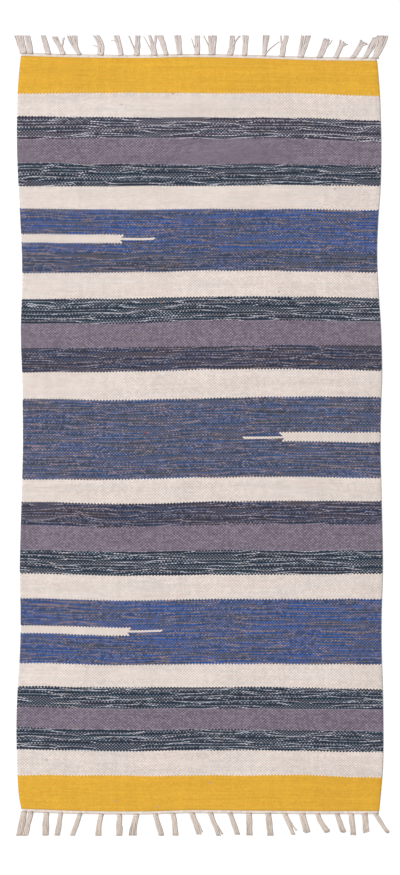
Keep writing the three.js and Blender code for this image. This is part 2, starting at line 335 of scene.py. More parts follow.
BOTTOM_TASSELS = (
    (-344, -9, 47, 10, 12, 0, 0.6),
    (-330.5, -11, 46.5, 9, 10, 0, 0.6),
    (-300, -2, 45, 9.5, 11.5, 0, 0.6),
    (-272.5, -7, 44, 8, 10.5, 0, 0.6),
    (-235, -14.5, 43, 8, 9.5, 0, 0.6),
    (-193.5, -5.5, 42.5, 8.5, 12, -1.5, 0.6),
    (-158.5, -0.5, 42.5, 8.5, 11, 0.5, 0.6),
    (-125, -8, 42, 9.5, 15, -1.5, 0.6),
    (-88.5, 12, 42.5, 9, 9.5, 0, 0.6),
    (-54, 5, 43.5, 8.5, 11, 1, 0.6),
    (-17, 14.5, 42, 9.5, 10.5, 0, 0.6),
    (19, 16, 44.5, 9, 9, 0, 0.6),
    (57, 14, 42, 8.5, 10, 0, 0.6),
    (94, 1, 43, 10, 11.5, 0, 0.6),
    (131, 4, 43.5, 10, 12, 0, 0.6),
    (163.5, 17, 41, 9, 9, 0, 0.6),
    (197.5, 9, 37, 11, 12.5, 0, 3),
    (227.5, 19, 35.5, 8.5, 10.5, -2.5, 3),
    (265.5, 11.5, 36, 8.5, 12, -1, 3),
    (292.5, 4, 40.5, 9.5, 10.5, 0, 3),
    (318.5, 3, 36, 11, 13, 0, 3),
    (340.5, 23, 36.5, 8, 8, -1, 3),
)

# Strands that stray from their tassel: its number, how many go (from its left side if negative), the share
# of the way at which they part from it, and where they end, right of the knot and out from the heading
TOP_STRAYS = (
    (3, 3, 0.4, 2, 33),
    (5, -2, 0.3, -14, 19),
    (6, -2, 0.7, -19, 29),
    (7, -2, 0.15, -15, 38),
    (8, -1, 0.15, -21, 37),
    (8, 3, 0.3, 3, 38.5),
    (9, -1, 0.3, -18, 38),
    (11, -1, 0.1, -11, 32),
    (12, -2, 0.4, -16, 36),
    (13, 3, 0.6, 19, 37.5),
    (15, 1, 0.05, 30, 28),
    (16, -2, 0.15, -2, 41),
    (18, 1, 0.45, 25, 34),
    (19, 11, 0.5, 14, 34),
    (19, 8, 0.55, 17.5, 32),
    (19, 5, 0.6, 20.5, 29.5),
    (19, 3, 0.65, 22, 26.5),
    (20, 10, 0.55, 22, 34),
    (20, 7, 0.6, 25, 32),
    (20, 5, 0.65, 27.5, 29.5),
    (20, 2, 0.7, 28.5, 26.5),
)
BOTTOM_STRAYS = (
    (10, 2, 0.3, 20.5, 38),
    (11, 2, 0.5, 23.5, 42),
    (15, 2, 0.25, 23, 33),
)


# The camera, the floor and the light


def look_straight_down():
    """The camera hangs over the picture's middle, as high as its lens needs to see the picture's length."""
    x, y, _ = (np.array([*VIEW_MIDDLE, 0]) + SHIFT) * MM
    camera = bpy.data.cameras.new("camera")
    camera.sensor_fit = "VERTICAL"
    camera.sensor_height = FILM_LENGTH
    camera.lens = LENS_LENGTH
    height = CLOTH_THICKNESS + VIEW_LENGTH * LENS_LENGTH / FILM_LENGTH
    holder = bpy.data.objects.new("camera", camera)
    holder.location = (x, y, height * MM)
    bpy.context.collection.objects.link(holder)
    bpy.context.scene.camera = holder


def lamp(name, place, power, size):
    """A square soft box at place, in metres, that faces the rug's middle."""
    light = bpy.data.lights.new(name, "AREA")
    light.energy = power
    light.size = size
    holder = bpy.data.objects.new(name, light)
    x, y, z = place
    holder.location = place
    holder.rotation_euler = (math.atan2(math.hypot(x, y), z), 0, math.atan2(x, -y))
    bpy.context.collection.objects.link(holder)


def studio_light():
    """An even white sky and one large soft window from the upper left."""
    world = bpy.data.worlds.new("studio")
    world.use_nodes = True
    world.node_tree.nodes["Background"].inputs["Color"].default_value = (1, 1, 1, 1)
    world.node_tree.nodes["Background"].inputs["Strength"].default_value = SKY_STRENGTH
    bpy.context.scene.world = world
    bpy.context.scene.view_settings.view_transform = "Standard"
    lamp("window", WINDOW_PLACE, WINDOW_POWER, WINDOW_SIZE)


# Shapes, worked out as whole arrays


def curve_through(stations, values, where):
    """Cubic stretches through the points, each point's slope that of the line between its neighbours.

    Between two points a share t of the way, value = a + (b - a) * t * t * (3 - 2 * t), plus the slopes at a
    and b times t * (1 - t)^2 and t^2 * (t - 1) of the stretch's length. Before the first and past the last
    it is level.
    """
    stations = np.asarray(stations, float)
    values = np.asarray(values, float)
    last = len(stations) - 1
    before = np.maximum(np.arange(last + 1) - 1, 0)
    after = np.minimum(np.arange(last + 1) + 1, last)
    slopes = (values[after] - values[before]) / (stations[after] - stations[before])
    i = np.clip(np.searchsorted(stations, where, side="right") - 1, 0, last - 1)
    run = stations[i + 1] - stations[i]
    t = np.clip((where - stations[i]) / run, 0, 1)
    ease = t * t * (3 - 2 * t)
    leave = t * (1 - t) ** 2 * run * slopes[i]
    arrive = t * t * (t - 1) * run * slopes[i + 1]
    return values[i] + (values[i + 1] - values[i]) * ease + leave + arrive


ALONG, LEFT, RIGHT = np.array(EDGES, float).T
ACROSS, TOP, BOTTOM = np.array(ENDS, float).T


def left_edge(along):
    return curve_through(ALONG, LEFT, along)


def right_edge(along):
    return curve_through(ALONG, RIGHT, along)


def end_line(side, across):
    """Where the sheet ends at the top (side 1) or the bottom (side -1)."""
    return curve_through(ACROSS, TOP if side > 0 else BOTTOM, across)


def straight_across(share):
    return ACROSS[0] + (ACROSS[-1] - ACROSS[0]) * share


def plan_shift():
    """From the sheet's own middle to the model's frame: its low corner in the CAD less the one here."""
    share, along = np.meshgrid(*(np.linspace(0, 1, count) for count in OUTLINE_GRID))
    straight = straight_across(share)
    y = end_line(-1, straight) * (1 - along) + end_line(1, straight) * along
    x = left_edge(y) * (1 - share) + right_edge(y) * share
    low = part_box("rug_body")[0]
    return np.array([low.x / MM - x.min(), low.y / MM - y.min(), 0])


SHIFT = plan_shift()


def stripe_lines(across):
    """Rows of y: where each stripe begins and ends at these places across, from the top end down."""
    inner = [curve_through(STATIONS, ends, across) for _, ends in STRIPES[:-1]]
    return np.stack([end_line(1, across), *inner, end_line(-1, across)])


def stripe_picks():
    """How many picks each stripe has, from its depth at the rug's middle."""
    depths = -np.diff(stripe_lines(np.array([0.0]))[:, 0])
    return np.rint(depths / PICK_PITCH).astype(int)


PICKS = stripe_picks()
PICK_ENDS = np.concatenate([[0], np.cumsum(PICKS)])
PICK_COUNT = int(PICK_ENDS[-1])


def cloth_place(share, pick):
    """(x, y) of the point a share of the way across, on that pick.

    The picks lie evenly between two stripe lines.
    """
    straight = straight_across(share)
    lines = stripe_lines(straight.ravel()).reshape(-1, *straight.shape)
    stripe = np.clip(np.searchsorted(PICK_ENDS, pick, side="right") - 1, 0, len(PICKS) - 1)
    within = (pick - PICK_ENDS[stripe]) / PICKS[stripe]
    above = np.take_along_axis(lines, stripe[None], 0)[0]
    below = np.take_along_axis(lines, stripe[None] + 1, 0)[0]
    y = above + (below - above) * within
    x = left_edge(y) + (right_edge(y) - left_edge(y)) * share
    return x, y


def warp_and_pick(x, y):
    """The warp's number and the pick's number at a place on the sheet."""
    left, right = left_edge(np.array(y)), right_edge(np.array(y))
    share = (x - left) / (right - left)
    picks = np.linspace(0, PICK_COUNT, LOOKS_A_PICK * PICK_COUNT + 1)
    rows = cloth_place(np.full_like(picks, share), picks)[1]
    return float(share * WARPS), float(np.interp(-y, -rows, picks))


def cloth_top(x, y):
    """The top's height: a slow swell, the same as the solid's, and a slight unevenness."""
    swell = np.sin(2 * np.pi * y / SWELL_LENGTH) * np.cos(2 * np.pi * x / SWELL_WIDTH)
    across, across_bend, along, along_bend = UNEVEN_LENGTHS
    bent_across = np.sin(x / across + 2 * np.sin(y / across_bend))
    bent_along = np.sin(y / along + 2 * np.cos(x / along_bend))
    return CLOTH_THICKNESS + SWELL * swell + UNEVEN_DEPTH * (bent_across * bent_along)


NO_POINTS = np.zeros((0, 3))


def shown(points, faces, marks, slots):
    """One part of a piece: points (n, 3), faces (m, corners), marks (m, corners, 2) on them, and its look."""
    return {"points": points, "faces": faces, "marks": marks, "slots": np.full(len(faces), slots)}


def make_piece(name, parts, map_name, looks):
    """Joins parts into one mesh, in metres and in the model's frame, with a UV map along its threads."""
    counts = np.cumsum([0] + [len(p["points"]) for p in parts])
    corners = np.concatenate([(p["faces"] + n).ravel() for p, n in zip(parts, counts)])
    sizes = np.concatenate([np.full(len(p["faces"]), p["faces"].shape[1]) for p in parts])
    starts = np.concatenate([[0], np.cumsum(sizes)[:-1]])
    slots = np.concatenate([p["slots"] for p in parts])
    marks = np.concatenate([p["marks"].ravel() for p in parts])
    points = (np.concatenate([p["points"] for p in parts]) + SHIFT) * MM
    mesh = bpy.data.meshes.new(name)
    mesh.vertices.add(len(points))
    mesh.vertices.foreach_set("co", points.astype(np.float32).ravel())
    mesh.loops.add(len(corners))
    mesh.loops.foreach_set("vertex_index", corners.astype(np.int32))
    mesh.polygons.add(len(sizes))
    mesh.polygons.foreach_set("loop_start", starts.astype(np.int32))
    mesh.polygons.foreach_set("material_index", slots.astype(np.int32))
    mesh.polygons.foreach_set("use_smooth", np.ones(len(sizes), bool))
    layer = mesh.uv_layers.new(name=map_name)
    layer.uv.foreach_set("vector", marks.astype(np.float32))
    mesh.update(calc_edges=True)
    for look in looks:
        mesh.materials.append(look)
    piece = bpy.data.objects.new(name, mesh)
    bpy.context.collection.objects.link(piece)
    return piece


def ring_faces(rows, ring):
    """Quads between neighbouring rows of a closed ring, as indices into points of shape (rows, ring)."""
    row, step = np.meshgrid(np.arange(rows - 1), np.arange(ring), indexing="ij")
    after = (step + 1) % ring
    near, far = row * ring, (row + 1) * ring
    return np.stack([near + step, far + step, far + after, near + after], -1)


def skin(points, across, along, slot):
    """Quads over rings of points (tubes, rows, ring, 3), with the marks of their threads.

    across and along are given for every row and every step of the ring, with its first step again at its
    end.
    """
    count, rows, ring, _ = points.shape
    faces = ring_faces(rows, ring) + np.arange(count)[:, None, None, None] * rows * ring
    grid = np.zeros((count, rows, ring + 1, 2))
    grid[..., 0] = across
    grid[..., 1] = along
    near, far = grid[:, :-1], grid[:, 1:]
    marks = np.stack([near[:, :, :-1], far[:, :, :-1], far[:, :, 1:], near[:, :, 1:]], -2)
    return shown(points.reshape(-1, 3), faces.reshape(-1, 4), marks.reshape(-1, 4, 2), slot)


def closed_ends(points, slot):
    """Flat faces over the first and last ring of each tube, counted back from the points before them."""
    count, rows, ring, _ = points.shape
    first = np.arange(ring) + (np.arange(count)[:, None] - count) * rows * ring
    last = first + (rows - 1) * ring
    return [shown(NO_POINTS, face, np.zeros((*face.shape, 2)), slot) for face in (first, last[:, ::-1])]


def cloth_parts():
    """The sheet's cross-section carried from the top end to the bottom end, one row for each pick.

    The section runs along the top from left to right, down round the right selvedge, back along the bottom
    and up round the left one. A selvedge is half an ellipse, x = ROUND_WIDTH * sin(angle), z = thickness /
    2 * (1 + cos), and stands out a little more on every second row, where the weft turns back.
    """
    shares = np.linspace(0, 1, COLUMNS + 1)
    angle = np.linspace(0, np.pi, ROUND_STEPS + 1)[1:-1]
    rim = np.ones(ROUND_STEPS - 1)
    share = np.concatenate([shares, rim, shares[::-1], 0 * rim])
    falling = (1 + np.cos(angle)) / 2
    height = np.concatenate([0 * shares + 1, falling, 0 * shares, 1 - falling])
    outward = np.concatenate([0 * shares, np.sin(angle), 0 * shares, -np.sin(angle)])
    rows = np.arange(PICK_COUNT + 1)
    share_grid, pick_grid = np.meshgrid(share, rows.astype(float))
    x, y = cloth_place(share_grid, pick_grid)
    drawn_in = ROUND_WIDTH * (1 - 2 * share_grid)
    loops = LOOP_DEPTH * np.where(rows % 2 == 0, 1, -1)[:, None] * outward
    x = x + drawn_in + ROUND_WIDTH * outward + loops
    thinning = np.ones((len(rows), 1))
    thinning[[0, -1]] = END_THINNING
    z = height * cloth_top(x, y) * thinning
    points = np.stack([x, y, z], -1)[None]
    warp = share * WARPS
    parts = [skin(points, np.append(warp, warp[0]), rows[:, None], 0)]

    top = np.arange(COLUMNS)
    under = 2 * COLUMNS + ROUND_STEPS - np.arange(COLUMNS)
    cap = np.stack([top, top + 1, under - 1, under], -1)
    ring = len(share)
    right_rim = np.arange(COLUMNS, COLUMNS + ROUND_STEPS + 1)
    left_rim = np.append(np.arange(ring - ROUND_STEPS, ring), 0)
    for row, turn in ((0, 1), (PICK_COUNT, -1)):
        for face in (cap, right_rim[None], left_rim[None]):
            face = face[:, ::turn]
            at = np.stack([warp[face], np.full(face.shape, row)], -1)
            parts.append(shown(NO_POINTS, face + (row - len(rows)) * ring, at, 0))
    return parts


def tubes(paths, widths, heights, sides, slot):
    """Tubes round many paths at once: an ellipse carried along each path.

    paths is (tubes, steps, 3). A point of the ring is path + cos(angle) * width / 2 sideways + sin(angle) *
    height / 2 upwards, and a flat face closes each end. The marks are twice the tube's number + the share
    of the way round, and the twist's turns along it.
    """
    count = len(paths)
    ahead = np.gradient(paths, axis=1)
    ahead /= np.linalg.norm(ahead, axis=2, keepdims=True)
    sideways = np.cross(ahead, np.array([0.0, 0.0, 1.0]))
    sideways /= np.maximum(np.linalg.norm(sideways, axis=2, keepdims=True), 1e-6)
    upwards = np.cross(sideways, ahead)
    angle = 2 * np.pi * np.arange(sides) / sides
    across = (np.cos(angle) * widths[..., None] / 2)[..., None] * sideways[:, :, None]
    over = (np.sin(angle) * heights[..., None] / 2)[..., None] * upwards[:, :, None]
    points = paths[:, :, None] + across + over
    length = np.linalg.norm(np.diff(paths, axis=1), axis=2)
    run = np.concatenate([np.zeros((count, 1)), np.cumsum(length, 1)], 1) / PLY_PITCH
    around = 2 * np.arange(count)[:, None, None] + np.arange(sides + 1) / sides
    return [skin(points, around, run[..., None], slot), *closed_ends(points, slot)]


def rim_line(side, x):
    """The y of the heading's outer edge."""
    return end_line(side, x) + side * (HEADING_WIDTH - HEADING_OVERLAP)


def heading_span(side):
    """Where a heading begins and ends, from left to right."""
    left = left_edge(end_line(side, ACROSS[0]))
    right = right_edge(end_line(side, ACROSS[-1]))
    return left * HEADING_SHARE, right * HEADING_SHARE


def heading_parts(side):
    """A narrow band of a few picks: its section has one low round for each pick and is carried along the end.

    The top is z = thickness * (1 - HEADING_ROUND + HEADING_ROUND * |sin(pi * picks * share)|), lower at its
    rims, and every second warp stands a little up.
    """
    out_share = np.linspace(0, 1, HEADING_STEPS * HEADING_PICKS + 1)
    rounds = np.abs(np.sin(np.pi * HEADING_PICKS * out_share))
    top = 1 - HEADING_ROUND + HEADING_ROUND * rounds
    top[[0, -1]] = HEADING_RIMS
    belly_out, belly_up = HEADING_BELLY
    out = np.concatenate([out_share, [belly_out, 1.0, 0.0]])
    z = np.concatenate([top, [belly_up, 0.0, 0.0]])
    rows = np.linspace(*heading_span(side), WARPS + 1)
    if side > 0:
        rows = rows[::-1]
    x = np.repeat(rows[:, None], len(out), 1)
    y = end_line(side, x) + side * (HEADING_WIDTH * out - HEADING_OVERLAP)
    stands = 1 + WARP_STANDS * np.where(np.arange(WARPS + 1) % 2 == 0, 1, -1)[:, None]
    height = HEADING_THICKNESS * z * stands
    points = np.stack([x, y, height], -1)[None]
    picks = HEADING_PICKS * np.append(out, out[0])
    marked = skin(points, np.arange(WARPS + 1)[:, None], picks, HEADING)
    return [marked, *closed_ends(points, HEADING)]


def edge_cord_parts(side):
    """Two plies wound round each other along the heading's outer edge: each is a helix, half a turn apart."""
    left, right = heading_span(side)
    steps = int((right - left) / CORD_PITCH * CORD_STEPS)
    x = np.linspace(left, right, steps + 1)
    turn = 2 * np.pi * (x - left) / CORD_PITCH
    plies = []
    for start in (0, np.pi):
        y = rim_line(side, x) + CORD_WIDTH / 2 * np.cos(turn + start)
        z = CORD_WIDTH * CORD_LIFT + CORD_WIDTH / 2 * np.sin(turn + start)
        plies.append(np.stack([x, y, z], -1))
    paths = np.stack(plies)
    widths = np.full(paths.shape[:2], CORD_WIDTH)
    return tubes(paths, widths, widths, CORD_SIDES, EDGE_CORD)


def knot_parts(side, roots, girths):
    """Each knot is a short flat-bellied tube, with one turn of yarn round the end that sits on the heading.

    Along its length its width goes with the root of 1 - (KNOT_BULGE * place)^2. The turn is most of a
    circle that leans a little and drops to the heading on its right.
    """
    along = np.linspace(-0.5, 0.5, KNOT_STEPS + 1)
    bulge = np.sqrt(1 - (KNOT_BULGE * along) ** 2)
    middle = np.stack([roots, rim_line(side, roots) + side * KNOT_OUT, 0 * roots], -1)
    lump = np.repeat(middle[:, None], len(along), 1)
    lump[..., 1] += side * KNOT_LENGTH * along
    lump[..., 2] += KNOT_HEIGHT / 2
    knot_widths = girths[:, None] + KNOT_SPARE
    width = knot_widths * bulge
    body = tubes(lump, width, KNOT_HEIGHT * bulge * np.ones_like(width), KNOT_SIDES, WARP_ENDS)
    start, length = WRAP_WAY
    angle = np.pi * (start - length * np.linspace(0, 1, WRAP_STEPS + 1))
    lean = draw.uniform(*WRAP_LEAN, (len(roots), 1))
    middle_height, rise = WRAP_RISE
    wrap = np.repeat(middle[:, None], len(angle), 1)
    wrap[..., 0] += knot_widths / 2 * np.cos(angle)
    wrap[..., 1] -= side * (KNOT_LENGTH * WRAP_PLACE + lean * np.cos(angle))
    wrap[..., 2] += np.maximum(KNOT_HEIGHT * (middle_height + rise * np.sin(angle)), WRAP_WIDTH / 2)
    girth = np.full(wrap.shape[:2], WRAP_WIDTH)
    return body + tubes(wrap, girth, girth, WRAP_SIDES, KNOT_TURN)


def strand_parts(side, roots, tassels, strays):
    """Every strand of every tassel, as a path from its knot to its tip.

    A share t of the way out, x = root + lean * t + the strand's place, which opens evenly from the knot's
    width to the tips' width, + 4 * bow * t * (1 - t), and y runs evenly out to the tassel's reach, give or
    take its raggedness. Half of the strands lie on the floor and half on top of them. Slow waves of their
    own keep them from lying parallel. A strand's tip flattens out where its tassel opens wide. A strand
    that strays leaves this path at its own share of the way and bends evenly away to its own end.
    """
    _, lean, reach, girth, spread, bow, ragged = (tassels[:, i, None, None] for i in range(7))
    number = np.arange(STRANDS)[None, :, None]
    t = np.linspace(0, 1, STRAND_STEPS + 1)[None, None]
    shape = (len(tassels), STRANDS, 1)
    upper = number % 2
    place = number / (STRANDS - 1) - 0.5 + draw.uniform(-STRAND_OFF, STRAND_OFF, shape)
    phase = draw.uniform(0, 2 * np.pi, shape)
    waves = draw.uniform(*STRAND_WAVES, shape)
    sway = draw.uniform(*STRAND_SWAY, shape) * np.sin(np.pi * t)
    uneven = ragged * draw.uniform(*TIPS_OFF, shape)
    tip_width = np.maximum(STRAND_TIP_WIDTH, STRAND_OVERLAP * spread / STRANDS)
    opened = (girth - STRAND_WIDTH) * (1 - t) + (spread - tip_width) * t
    right = lean * t + place * opened + 4 * bow * t * (1 - t) + sway * np.sin(2 * np.pi * waves * t + phase)
    out = KNOT_OUT + (reach + uneven - KNOT_OUT) * t

    parting = np.ones(shape)
    ends = np.stack([right[..., -1:], out[..., -1:]])
    for tassel, strands, share, end_right, end_out in strays:
        count = abs(strands)
        them = slice(0, count) if strands < 0 else slice(STRANDS - count, STRANDS)
        parting[tassel, them] = share
        ends[0, tassel, them, 0] = end_right + STRAY_GAP * (np.arange(count) - (count - 1) / 2)
        ends[1, tassel, them, 0] = end_out
    gone = np.clip((t - parting) / np.maximum(1 - parting, LEAST_SHARE), 0, 1) ** STRAY_BEND
    x = roots[:, None, None] + right + (ends[0] - right[..., -1:]) * gone
    y = rim_line(side, roots)[:, None, None] + side * (out + (ends[1] - out[..., -1:]) * gone)
    low = STRAND_WIDTH / 2 + upper * STRAND_WIDTH * STRAND_NESTING * (1 - gone)
    z = low + (KNOT_HEIGHT / 2 - low) * (1 - t) ** 2
    paths = np.stack(np.broadcast_arrays(x, y, z), -1).reshape(-1, STRAND_STEPS + 1, 3)
    width = np.broadcast_to(STRAND_WIDTH + (tip_width - STRAND_WIDTH) * t, right.shape)
    width = width.reshape(len(paths), -1)
    return tubes(paths, width, np.minimum(width, STRAND_WIDTH), STRAND_SIDES, WARP_ENDS)


# Materials


def feed(tree, socket, value):
    """Links a socket's value from another node's output, or sets it to a number."""
    if isinstance(value, bpy.types.NodeSocket):
        tree.links.new(value, socket)
    else:
        socket.default_value = value


def new_node(tree, kind, *values, **settings):
    """A node of this kind and these settings, with the values fed to its first sockets."""
    node = tree.nodes.new("ShaderNode" + kind)
    for name, setting in settings.items():
        setattr(node, name, setting)
    for socket, value in zip(node.inputs, values):
        feed(tree, socket, value)
    return node


def maths(tree, operation, *values):
    return new_node(tree, "Math", *values, operation=operation).outputs[0]


def vector_maths(tree, operation, *values):
    return new_node(tree, "VectorMath", *values, operation=operation).outputs[0]


def times(tree, value, *others):
    for other in others:
        value = maths(tree, "MULTIPLY", value, other)
    return value


def apart(tree, one, other):
    """How far apart two numbers are."""
    return maths(tree, "ABSOLUTE", maths(tree, "SUBTRACT", one, other))


def half_turns(tree, count):
    """The cosine of pi times a count: 1 on even numbers and -1 on odd ones."""
    return maths(tree, "COSINE", times(tree, count, math.pi))


def scaled(tree, place, across, along):
    """The place counted in lengths of so many warps across and so many picks along."""
    return vector_maths(tree, "MULTIPLY", place, (1 / across, 1 / along, 0))


def blended(tree, share, below, above, kind="MIX"):
    """The colour between below and above, or above worked over below in Blender's own ways of mixing."""
    node = new_node(tree, "Mix", share, data_type="RGBA", blend_type=kind)
    first_colour, second_colour, mixed = 6, 7, 2  # where the node keeps its sockets for colours
    feed(tree, node.inputs[first_colour], below)
    feed(tree, node.inputs[second_colour], above)
    return node.outputs[mixed]


def stretched(tree, value, low, high, to_low=0.0, to_high=1.0):
    """The value's stretch from low to high, laid evenly over to_low to to_high and held there beyond."""
    return new_node(tree, "MapRange", value, low, high, to_low, to_high).outputs["Result"]


def joined(tree, x, y, z=0.0):
    return new_node(tree, "CombineXYZ", x, y, z).outputs[0]


def split(tree, colour):
    return new_node(tree, "SeparateColor", colour).outputs


def split_place(tree, place):
    return new_node(tree, "SeparateXYZ", place).outputs


def noise(tree, dimensions, place, scale=1.0, detail=1.0, output="Fac"):
    node = new_node(tree, "TexNoise", noise_dimensions=dimensions)
    feed(tree, node.inputs["W" if dimensions == "1D" else "Vector"], place)
    node.inputs["Scale"].default_value = scale
    node.inputs["Detail"].default_value = detail
    return node.outputs[output]


def chance(tree, dimensions, place):
    """A number from 0 to 1 that has nothing to do with its neighbours'."""
    node = new_node(tree, "TexWhiteNoise", noise_dimensions=dimensions)
    feed(tree, node.inputs["W" if dimensions == "1D" else "Vector"], place)
    return node.outputs["Value"]


def new_group(name, inputs, outputs):
    """An empty node group with these sockets: the group, its entry's outputs and its exit's inputs."""
    group = bpy.data.node_groups.new(name, "ShaderNodeTree")
    for names, way in ((inputs, "INPUT"), (outputs, "OUTPUT")):
        for socket, kind in names.items():
            group.interface.new_socket(name=socket, in_out=way, socket_type="NodeSocket" + kind)
    return group, group.nodes.new("NodeGroupInput").outputs, group.nodes.new("NodeGroupOutput").inputs


def placed(tree, group, **values):
    node = new_node(tree, "Group", node_tree=group)
    for name, value in values.items():
        feed(tree, node.inputs[name], value)
    return node.outputs


def bead_group():
    """The beads of a weft-faced plain weave, from the place counted in warps and picks.

    Pick n lies between the lines n and n + 1 and goes over every second warp. Its edges swing with it, at
    line + PICK_WAVE * cos(pi * (warp + line - 1)). Lift = cos(pi * (warp + n)) is 1 over a warp and -1
    under one, and Off is the way from the pick's middle, in picks. Height is 1 - ROUND_SHARE * Off^2 - (1 -
    ROUND_SHARE) * (1 - Lift) / 2. Slow noise makes the warps and picks wander first.
    """
    outputs = {"Warp": "Float", "Pick": "Float", "Off": "Float", "Height": "Float"}
    group, given, out = new_group("woven beads", {"Thread": "Vector"}, outputs)
    slow = noise(group, "2D", scaled(group, given["Thread"], *WANDER_LENGTH), output="Color")
    off_middle = vector_maths(group, "SUBTRACT", slow, (0.5, 0.5, 0.5))
    place = vector_maths(group, "MULTIPLY_ADD", off_middle, WANDER, given["Thread"])
    warp, along, _ = split_place(group, place)
    line = maths(group, "ROUND", along)
    swing = half_turns(group, maths(group, "ADD", warp, maths(group, "SUBTRACT", line, 1.0)))
    edge = maths(group, "ADD", line, times(group, swing, PICK_WAVE))
    pick = maths(group, "SUBTRACT", line, maths(group, "LESS_THAN", along, edge))
    off = maths(group, "SUBTRACT", along, maths(group, "ADD", pick, 0.5))
    lift = half_turns(group, maths(group, "ADD", warp, pick))
    fallen = times(group, off, off, ROUND_SHARE)
    dive = stretched(group, lift, -1, 1, 1 - ROUND_SHARE, 0)
    height = maths(group, "SUBTRACT", maths(group, "SUBTRACT", 1.0, fallen), dive)
    pair = maths(group, "ROUND", times(group, maths(group, "ADD", warp, pick), 0.5))
    bead_warp = maths(group, "SUBTRACT", times(group, pair, 2.0), pick)
    for name, value in (("Warp", bead_warp), ("Pick", pick), ("Off", off), ("Height", height)):
        group.links.new(value, out[name])
    return group


def marl_group():
    """Which strand of a thread shows on a bead.

    A thread is a few strands side by side, and its second strand keeps shifting from side to side. Its
    shift is a slow wave of the pick's own and one that it shares with every second pick nearby, each by its
    gain and by the yarn's part of it, held between -1 and 1, times STRAND_SHIFT, and the bead's own chance
    times Jump. It shows where |Off - shift| is less than Width and blends in over Softness to either side.
    The third strand takes the ground's place in stretches, by another wave of the pick's own. Tint is the
    first wave, from 0 to 1.
    """
    names = ("Warp", "Pick", "Off", "Luck", "Width", "Softness", "Jump", "Own", "Shared")
    outputs = {"Second strand": "Float", "Third strand": "Float", "Tint": "Float"}
    group, given, out = new_group("marled strands", {name: "Float" for name in names}, outputs)
    warp, pick = given["Warp"], given["Pick"]
    own, other = (own_wave(group, warp, maths(group, "ADD", pick, start)) for start in (0.0, 0.5))
    kind = times(group, maths(group, "FLOORED_MODULO", pick, 2.0), OTHER_PICKS_OFF)
    shared_place = scaled(group, joined(group, maths(group, "ADD", warp, kind), pick), *SHARED_LENGTH)
    shared = maths(group, "SUBTRACT", noise(group, "2D", shared_place, detail=0.0), 0.5)
    own_part = times(group, own, STREAK_GAIN, given["Own"])
    shared_part = times(group, shared, SHARED_GAIN, given["Shared"])
    both = maths(group, "ADD", own_part, shared_part)
    swing = stretched(group, both, -1, 1, -STRAND_SHIFT, STRAND_SHIFT)
    jump = times(group, maths(group, "SUBTRACT", given["Luck"], 0.5), given["Jump"])
    away = apart(group, given["Off"], maths(group, "ADD", swing, jump))
    inner = maths(group, "SUBTRACT", given["Width"], given["Softness"])
    outer = maths(group, "ADD", given["Width"], given["Softness"])
    group.links.new(stretched(group, away, inner, outer, 1, 0), out["Second strand"])
    group.links.new(stretched(group, other, -THIRD_TURN, THIRD_TURN), out["Third strand"])
    group.links.new(stretched(group, own, -TINT_TURN, TINT_TURN), out["Tint"])
    return group


def own_wave(tree, warp, start):
    """A slow wave along a thread, about 0, that has nothing to do with another start's."""
    begin = times(tree, chance(tree, "1D", start), OWN_SPREAD)
    run = maths(tree, "MULTIPLY_ADD", warp, 1 / STREAK_WARPS, begin)
    return maths(tree, "SUBTRACT", noise(tree, "1D", run, detail=3.0), 0.5)


def ply_group():
    """The twist of a two-ply yarn: two round plies side by side, leaning, from the place round and along it.

    It also gives each yarn its own number from 0 to 1, and how far up its round a point lies: the cosine of
    the way round from its top.
    """
    outputs = {"Height": "Float", "Yarn": "Float", "Upward": "Float"}
    group, given, out = new_group("plied twist", {"Thread": "Vector"}, outputs)
    around, along, _ = split_place(group, given["Thread"])
    turn = maths(group, "ADD", around, along)
    height = maths(group, "ABSOLUTE", maths(group, "SINE", times(group, turn, 2 * math.pi)))
    number = maths(group, "FLOOR", times(group, around, 0.5))
    upward = maths(group, "SINE", times(group, around, 2 * math.pi))
    for name, value in (("Height", height), ("Yarn", chance(group, "1D", number)), ("Upward", upward)):
        group.links.new(value, out[name])
    return group


def fibre_group():
    """Fine short fibres and slow soft cloudiness, as spun cotton has them."""
    group, given, out = new_group("cotton fibres", {"Place": "Vector"}, {"Fibres": "Float", "Cloud": "Float"})
    group.links.new(noise(group, "3D", given["Place"], FIBRE_SCALE, 3.0), out["Fibres"])
    group.links.new(noise(group, "3D", given["Place"], CLOUD_SCALE, 4.0), out["Cloud"])
    return group


def new_material(name, sheen):
    """A dry cotton: a rough shader with a little sheen, its tree and its shader's inputs."""
    material = bpy.data.materials.new(name)
    material.use_nodes = True
    tree = material.node_tree
    shader = tree.nodes["Principled BSDF"]
    shader.inputs["Specular IOR Level"].default_value = COTTON_GLOSS
    shader.inputs["Sheen Weight"].default_value = sheen
    shader.inputs["Sheen Roughness"].default_value = SHEEN_SPREAD
    return material, tree, shader.inputs


def thread_map(tree, name):
    return new_node(tree, "UVMap", uv_map=name).outputs[0]


def object_place(tree):
    return new_node(tree, "TexCoord").outputs["Object"]


def shaded(tree, colour, light):
    """The colour, made as light as this at each place."""
    return blended(tree, 1.0, colour, joined(tree, light, light, light), "MULTIPLY")


def bumped(tree, inputs, height, depth):
    """Raises the surface by height times depth, in millimetres."""
    node = new_node(tree, "Bump", 1, depth * MM)
    tree.links.new(height, node.inputs["Height"])
    tree.links.new(node.outputs[0], inputs["Normal"])


def stripe_number(tree, pick):
    """How many stripes end above a pick, so the teeth between two stripes follow their beads."""
    number = 0.0
    for end in PICK_ENDS[1:-1]:
        number = maths(tree, "ADD", number, maths(tree, "GREATER_THAN", pick, end - 0.5))
    return number


